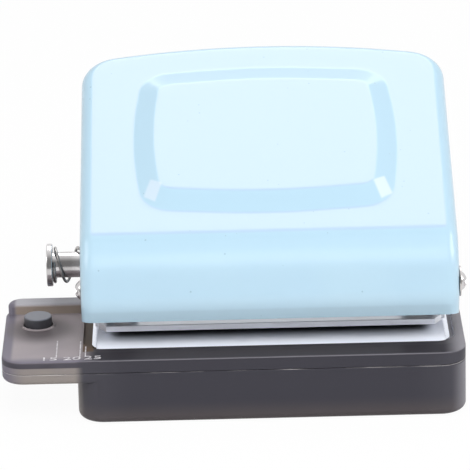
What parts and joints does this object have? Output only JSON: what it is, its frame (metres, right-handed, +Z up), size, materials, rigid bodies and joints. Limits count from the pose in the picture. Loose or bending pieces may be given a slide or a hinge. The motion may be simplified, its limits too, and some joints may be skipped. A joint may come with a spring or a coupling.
{
  "type": "desk paper punch",
  "caption": "Lever paper punch: sloping pressed steel lever on a plated frame with sprung punches, side lock pin, smoked chip tray with hinged cover, and a paper fence on a side wing.",
  "frame": {"origin": "on the desk, at the middle of the tray's flat underside in X; the punches' line is 19 mm in front of it", "axes": "+X to the user's right along the paper edge, -Y towards the user, +Z up from the desk"},
  "size_m": [0.1248, 0.0919, 0.0781],
  "materials": {
    "blue_paint": "gloss light blue paint",
    "smoked_plastic": "smoked translucent plastic",
    "satin_steel": "satin plated sheet steel",
    "bright_steel": "bright plated turned steel",
    "spring_steel": "plain spring wire and strip",
    "black_rubber": "matt rubber",
    "black_plastic": "moulded black plastic",
    "white_nylon": "natural nylon"
  },
  "bodies": {
    "base": {"chip_tray": "smoked_plastic", "feet": "black_rubber", "hinge_pins": "bright_steel"},
    "upper": {"base_cover": "smoked_plastic", "die_plate": "satin_steel", "depth_stop": "satin_steel", "guide_frame": "satin_steel", "frame_rivets": "bright_steel", "plate_screws": "bright_steel", "punch_guides": "satin_steel", "pivot_shaft": "bright_steel", "pivot_spacers": "white_nylon", "pivot_washer": "bright_steel", "punch_spring_left": "spring_steel", "punch_spring_right": "spring_steel", "button_spring": "spring_steel"},
    "handle": {"handle_shell": "blue_paint", "press_bar": "bright_steel", "stop_rod": "bright_steel", "lock_bush": "bright_steel", "lock_spring": "spring_steel"},
    "punch_left": {"punch_left": "bright_steel"},
    "punch_right": {"punch_right": "bright_steel"},
    "lock_pin": {"lock_pin": "bright_steel", "lock_ring": "spring_steel"},
    "button": {"tray_button": "black_plastic", "button_clip": "spring_steel"}
  },
  "joints": [
    {"name": "cover_hinge", "type": "hinge", "parent": "base", "child": "upper", "pos_m": [0, 0.0456, 0.0145], "axis": [-1, 0, 0], "range_deg": [0, 65]},
    {"name": "handle_pivot", "type": "hinge", "parent": "upper", "child": "handle", "pos_m": [0, -0.031, 0.034], "axis": [-1, 0, 0], "range_deg": [0, 22], "stiffness_Nm_per_rad": 1, "springref_deg": -20.05},
    {"name": "punch_left_slide", "type": "slide", "parent": "upper", "child": "punch_left", "axis": [0, 0, -1], "range_m": [0, 0.0054], "deforming": ["punch_spring_left"]},
    {"name": "punch_right_slide", "type": "slide", "parent": "upper", "child": "punch_right", "axis": [0, 0, -1], "range_m": [0, 0.0054], "deforming": ["punch_spring_right"]},
    {"name": "lock_pin_slide", "type": "slide", "parent": "handle", "child": "lock_pin", "axis": [1, 0, 0], "range_m": [0, 0.0016], "stiffness_N_per_m": 400, "springref_m": -0.004, "deforming": ["lock_spring"]},
    {"name": "button_press", "type": "slide", "parent": "upper", "child": "button", "axis": [0, 0, -1], "range_m": [0, 0.0012], "stiffness_N_per_m": 300, "springref_m": -0.002, "deforming": ["button_spring"]}
  ],
  "couplings": [
    {"joint": "punch_left_slide", "follows": "handle_pivot", "m_per_rad": 0.01375},
    {"joint": "punch_right_slide", "follows": "handle_pivot", "m_per_rad": 0.01375}
  ]
}
